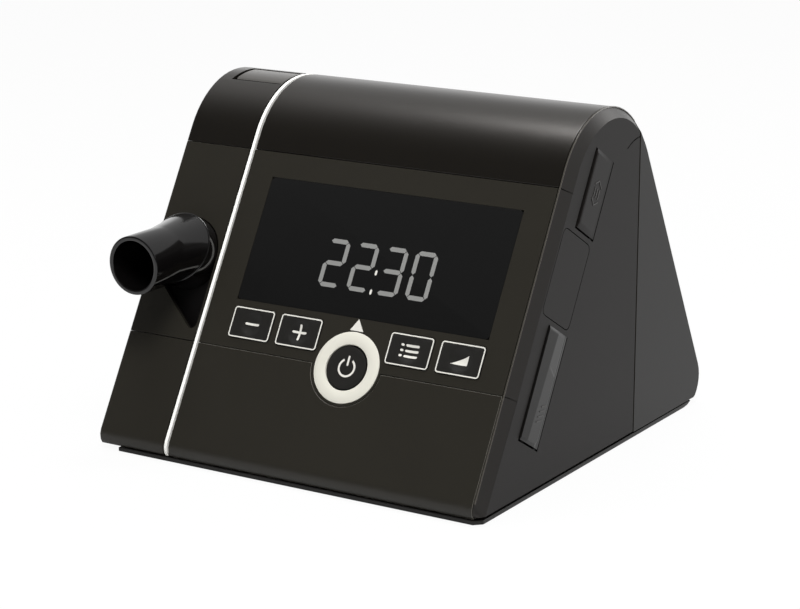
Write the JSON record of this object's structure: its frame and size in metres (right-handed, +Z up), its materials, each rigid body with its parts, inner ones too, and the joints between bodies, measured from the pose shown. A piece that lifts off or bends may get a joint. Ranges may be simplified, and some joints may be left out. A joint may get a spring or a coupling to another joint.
{
  "type": "bedside cpap machine",
  "caption": "Wedge-shaped bedside breathing-air machine with a sloping display panel, press keys, side doors, a removable left end module and a swivelling air outlet elbow.",
  "frame": {"origin": "under the middle of the machine, on the surface that it stands on", "axes": "+X to the right seen from the front, +Y to the back, +Z up"},
  "size_m": [0.1712, 0.18, 0.135],
  "materials": {
    "casing": "satin charcoal moulded plastic with a fine grain",
    "side_casing": "satin grey moulded plastic with a fine grain",
    "base_plastic": "plain moulded plastic",
    "gloss_black": "high gloss black",
    "window": "smooth dark display window",
    "key": "satin with printed white symbols",
    "trim_white": "smooth off-white",
    "ring_white": "smooth warm white",
    "rubber": "soft black rubber",
    "silicone": "grey silicone",
    "board": "green circuit board",
    "lcd": "display module",
    "inner_plastic": "light grey moulded plastic",
    "steel": "brushed steel",
    "foam": "open-cell foam",
    "filter_white": "white filter fleece"
  },
  "bodies": {
    "main": {"base_plate": "base_plastic", "lower_front_panel": "casing", "front_panel": "casing", "top_cover": "casing", "rear_housing": "casing", "right_side_panel": "side_casing", "side_insert": "side_casing", "upper_door_pin": "steel", "lower_door_pin": "steel", "docking_bulkhead": "casing", "trim_strip": "trim_white", "dock_seal": "silicone", "foot_1": "rubber", "foot_2": "rubber", "foot_3": "rubber", "foot_4": "rubber", "display_window": "window", "lcd_module": "lcd", "display_board": "board", "key_mat": "silicone", "power_ring": "ring_white", "coarse_filter": "foam", "fine_filter": "filter_white", "power_inlet": "gloss_black", "card_reader": "steel", "service_socket": "steel", "main_board": "board", "volute_lower": "inner_plastic", "volute_upper": "inner_plastic", "motor": "steel", "blower_mount_1": "rubber", "blower_mount_2": "rubber", "blower_mount_3": "rubber", "blower_mount_4": "rubber", "inlet_muffler": "foam", "outlet_duct": "silicone", "flow_sensor": "board"},
    "left_module": {"side_base": "casing", "side_front_cover": "casing", "side_top_cover": "casing", "recess_liner": "gloss_black", "side_duct": "inner_plastic", "elbow_seal": "rubber"},
    "elbow": {"elbow": "gloss_black"},
    "release_button": {"release_button": "casing"},
    "key_minus": {"key_minus": "key"},
    "key_plus": {"key_plus": "key"},
    "key_menu": {"key_menu": "key"},
    "key_ramp": {"key_ramp": "key"},
    "power_key": {"power_key": "key"},
    "upper_door": {"upper_door": "side_casing"},
    "lower_door": {"lower_door": "side_casing"},
    "filter_cover": {"filter_cover": "casing"},
    "impeller": {"impeller": "inner_plastic", "motor_shaft": "steel"}
  },
  "joints": [
    {"name": "module_slide", "type": "slide", "parent": "main", "child": "left_module", "axis": [-1, 0, 0], "range_m": [0, 0.04]},
    {"name": "elbow_swivel", "type": "hinge", "parent": "left_module", "child": "elbow", "pos_m": [-0.07025, -0.05209, 0.07223], "axis": [0, -0.8651, 0.5016], "continuous": true},
    {"name": "release_press", "type": "slide", "parent": "left_module", "child": "release_button", "axis": [0, 0, -1], "range_m": [0, 0.002], "stiffness_N_per_m": 900, "springref_m": -0.002},
    {"name": "minus_press", "type": "slide", "parent": "main", "child": "key_minus", "axis": [0, 0.8651, -0.5016], "range_m": [0, 0.0006], "stiffness_N_per_m": 1200, "springref_m": -0.0008},
    {"name": "plus_press", "type": "slide", "parent": "main", "child": "key_plus", "axis": [0, 0.8651, -0.5016], "range_m": [0, 0.0006], "stiffness_N_per_m": 1200, "springref_m": -0.0008},
    {"name": "menu_press", "type": "slide", "parent": "main", "child": "key_menu", "axis": [0, 0.8651, -0.5016], "range_m": [0, 0.0006], "stiffness_N_per_m": 1200, "springref_m": -0.0008},
    {"name": "ramp_press", "type": "slide", "parent": "main", "child": "key_ramp", "axis": [0, 0.8651, -0.5016], "range_m": [0, 0.0006], "stiffness_N_per_m": 1200, "springref_m": -0.0008},
    {"name": "power_press", "type": "slide", "parent": "main", "child": "power_key", "axis": [0, 0.8651, -0.5016], "range_m": [0, 0.0008], "stiffness_N_per_m": 1200, "springref_m": -0.0008},
    {"name": "upper_door_hinge", "type": "hinge", "parent": "main", "child": "upper_door", "pos_m": [0.0832, -0.00169, 0.10133], "axis": [0, 0.5016, 0.8651], "range_deg": [0, 90]},
    {"name": "lower_door_hinge", "type": "hinge", "parent": "main", "child": "lower_door", "pos_m": [0.0832, -0.03927, 0.03654], "axis": [0, 0.5016, 0.8651], "range_deg": [0, 90]},
    {"name": "filter_cover_hinge", "type": "hinge", "parent": "main", "child": "filter_cover", "pos_m": [0.0144, 0.07481, 0.04372], "axis": [-1, 0, 0], "range_deg": [0, 85]},
    {"name": "impeller_spin", "type": "hinge", "parent": "main", "child": "impeller", "pos_m": [0.0374, 0.01, 0.045], "axis": [0, 0, 1], "continuous": true}
  ]
}
